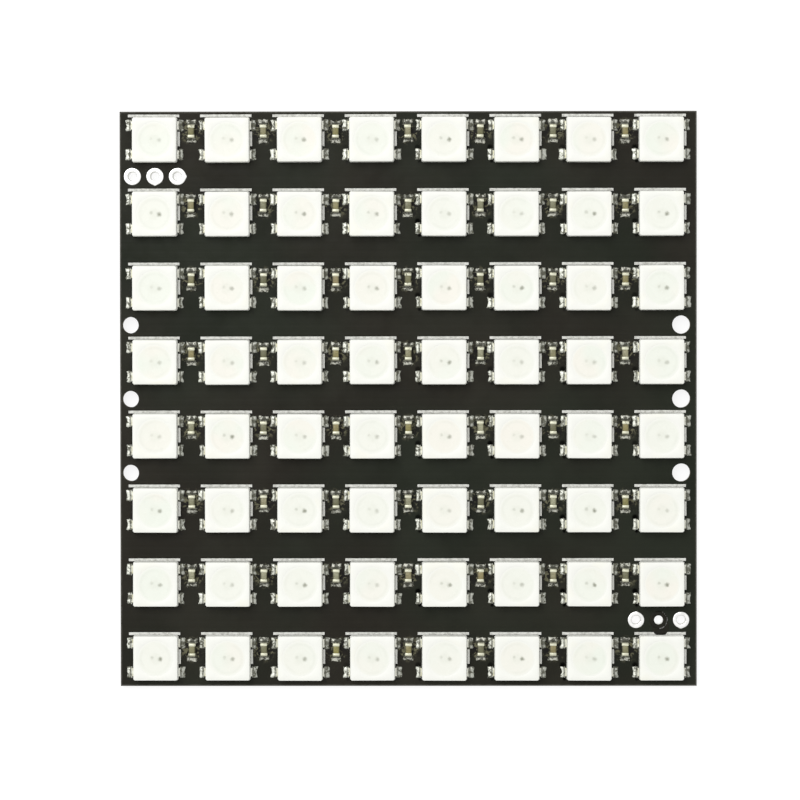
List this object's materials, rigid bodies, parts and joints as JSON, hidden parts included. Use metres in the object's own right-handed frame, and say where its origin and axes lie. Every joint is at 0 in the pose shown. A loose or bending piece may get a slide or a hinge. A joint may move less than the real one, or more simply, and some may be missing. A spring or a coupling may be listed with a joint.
{
  "type": "rgb led matrix panel",
  "caption": "Flat square circuit board with a regular grid of square surface-mounted lamps, small capacitors between them, side edge holes and two groups of plated wire holes.",
  "frame": {"origin": "middle of the board's back face", "axes": "+Z out of the board towards the lamp side, +X right along a row, +Y up the panel"},
  "size_m": [0.065, 0.0648, 0.0032],
  "materials": {
    "board_mask": "satin",
    "solder_metal": "satin",
    "housing_white": "matt",
    "milky_fill": "satin",
    "die_dark": "matt",
    "lead_metal": "satin",
    "ceramic_tan": "satin",
    "end_cap_metal": "satin"
  },
  "bodies": {
    "root": {"circuit_board": "board_mask", "input_pads": "solder_metal", "output_pads": "solder_metal", "lamp_housings_row_1": "housing_white", "lamp_fills_row_1": "milky_fill", "driver_chips_row_1": "die_dark", "lamp_leads_row_1": "lead_metal", "capacitor_bodies_row_1": "ceramic_tan", "capacitor_ends_row_1": "end_cap_metal", "lamp_housings_row_2": "housing_white", "lamp_fills_row_2": "milky_fill", "driver_chips_row_2": "die_dark", "lamp_leads_row_2": "lead_metal", "capacitor_bodies_row_2": "ceramic_tan", "capacitor_ends_row_2": "end_cap_metal", "lamp_housings_row_3": "housing_white", "lamp_fills_row_3": "milky_fill", "driver_chips_row_3": "die_dark", "lamp_leads_row_3": "lead_metal", "capacitor_bodies_row_3": "ceramic_tan", "capacitor_ends_row_3": "end_cap_metal", "lamp_housings_row_4": "housing_white", "lamp_fills_row_4": "milky_fill", "driver_chips_row_4": "die_dark", "lamp_leads_row_4": "lead_metal", "capacitor_bodies_row_4": "ceramic_tan", "capacitor_ends_row_4": "end_cap_metal", "lamp_housings_row_5": "housing_white", "lamp_fills_row_5": "milky_fill", "driver_chips_row_5": "die_dark", "lamp_leads_row_5": "lead_metal", "capacitor_bodies_row_5": "ceramic_tan", "capacitor_ends_row_5": "end_cap_metal", "lamp_housings_row_6": "housing_white", "lamp_fills_row_6": "milky_fill", "driver_chips_row_6": "die_dark", "lamp_leads_row_6": "lead_metal", "capacitor_bodies_row_6": "ceramic_tan", "capacitor_ends_row_6": "end_cap_metal", "lamp_housings_row_7": "housing_white", "lamp_fills_row_7": "milky_fill", "driver_chips_row_7": "die_dark", "lamp_leads_row_7": "lead_metal", "capacitor_bodies_row_7": "ceramic_tan", "capacitor_ends_row_7": "end_cap_metal", "lamp_housings_row_8": "housing_white", "lamp_fills_row_8": "milky_fill", "driver_chips_row_8": "die_dark", "lamp_leads_row_8": "lead_metal", "capacitor_bodies_row_8": "ceramic_tan", "capacitor_ends_row_8": "end_cap_metal"}
  },
  "joints": []
}
